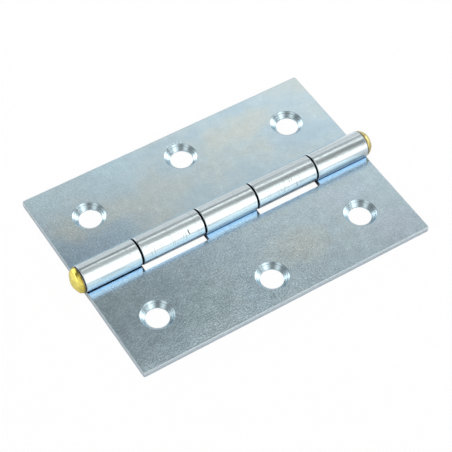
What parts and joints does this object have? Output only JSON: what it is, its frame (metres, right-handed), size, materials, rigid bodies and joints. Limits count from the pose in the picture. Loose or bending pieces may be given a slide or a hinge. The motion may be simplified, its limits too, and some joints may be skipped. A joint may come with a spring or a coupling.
{
  "type": "butt hinge",
  "caption": "Steel butt hinge: flat leaves with countersunk screw holes swing on a brass pin, headed at its ends, through rolled knuckles.",
  "frame": {"origin": "on the plane of the leaves' backs, straight under the middle of the pin, with the hinge open flat", "axes": "+X along the pin; +Y from the three-knuckle leaf towards the two-knuckle leaf; +Z out of the countersunk faces"},
  "size_m": [0.0794, 0.0544, 0.0066],
  "materials": {
    "zinc_plated_steel": "bright zinc plating, blue-grey, faintly blotched",
    "brass": "bright, lightly hammered heads"
  },
  "bodies": {
    "three_knuckle_side": {"three_knuckle_leaf": "zinc_plated_steel", "hinge_pin": "brass"},
    "two_knuckle_side": {"two_knuckle_leaf": "zinc_plated_steel"}
  },
  "joints": [
    {"name": "leaf_swing", "type": "hinge", "parent": "three_knuckle_side", "child": "two_knuckle_side", "pos_m": [0, 0, 0.0033], "axis": [1, 0, 0], "range_deg": [-100, 180]}
  ]
}
